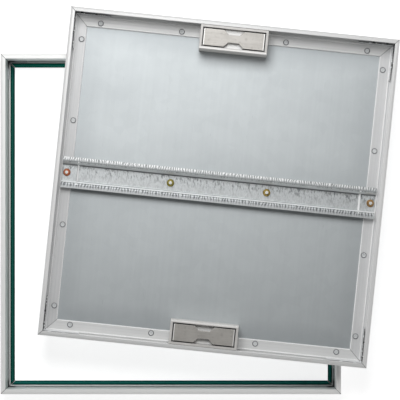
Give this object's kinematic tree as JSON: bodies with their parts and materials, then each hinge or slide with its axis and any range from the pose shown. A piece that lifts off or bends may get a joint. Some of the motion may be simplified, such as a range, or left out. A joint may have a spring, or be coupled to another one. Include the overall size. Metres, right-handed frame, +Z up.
{
  "type": "floor access cover",
  "caption": "Recessed floor access cover: square aluminium frame with rubber seal, and a shallow tray cover with pull-up handles and a folded stiffener, laid askew on the frame.",
  "frame": {"origin": "middle of the frame's clear opening, on the frame's underside", "axes": "+X to the right and +Y up the picture, along the frame's sides; +Z up out of the floor"},
  "size_m": [0.7479, 0.7261, 0.112],
  "materials": {
    "frame_aluminium": "mill finish, satin",
    "cover_aluminium": "mill finish, satin",
    "cleat_aluminium": "sawn",
    "seal_rubber": "matt",
    "galvanised_plate": "galvanised, smooth rolled",
    "galvanised_channel": "galvanised, spangled",
    "angle_steel": "galvanised",
    "rivet_aluminium": "satin",
    "bolt_steel": "bright zinc",
    "end_nut_steel": "zinc plated, reddish passivation",
    "inner_nut_steel": "zinc plated, yellow passivation",
    "housing_casting": "die cast, satin",
    "lifting_plate_steel": "satin",
    "pin_steel": "turned"
  },
  "bodies": {
    "frame_and_cover": {"upper_frame_rail": "frame_aluminium", "upper_seal_strip": "seal_rubber", "upper_cover_rail": "cover_aluminium", "left_frame_rail": "frame_aluminium", "left_seal_strip": "seal_rubber", "left_cover_rail": "cover_aluminium", "lower_frame_rail": "frame_aluminium", "lower_seal_strip": "seal_rubber", "lower_cover_rail": "cover_aluminium", "right_frame_rail": "frame_aluminium", "right_seal_strip": "seal_rubber", "right_cover_rail": "cover_aluminium", "upper_right_frame_cleat": "cleat_aluminium", "upper_right_corner_angle": "angle_steel", "upper_left_frame_cleat": "cleat_aluminium", "upper_left_corner_angle": "angle_steel", "lower_left_frame_cleat": "cleat_aluminium", "lower_left_corner_angle": "angle_steel", "lower_right_frame_cleat": "cleat_aluminium", "lower_right_corner_angle": "angle_steel", "base_plate": "galvanised_plate", "rivets": "rivet_aluminium", "stiffener_channel": "galvanised_channel", "channel_bolts": "bolt_steel", "end_flange_nuts": "end_nut_steel", "inner_flange_nuts": "inner_nut_steel", "upper_handle_housing": "housing_casting", "lower_handle_housing": "housing_casting", "housing_screws": "bolt_steel"},
    "upper_handle": {"upper_lifting_plate": "lifting_plate_steel", "upper_guide_pins": "pin_steel", "upper_retaining_washers": "pin_steel"},
    "lower_handle": {"lower_lifting_plate": "lifting_plate_steel", "lower_guide_pins": "pin_steel", "lower_retaining_washers": "pin_steel"}
  },
  "joints": [
    {"name": "upper_handle_lift", "type": "slide", "parent": "frame_and_cover", "child": "upper_handle", "axis": [0, 0, 1], "range_m": [0, 0.025]},
    {"name": "lower_handle_lift", "type": "slide", "parent": "frame_and_cover", "child": "lower_handle", "axis": [0, 0, 1], "range_m": [0, 0.025]}
  ]
}
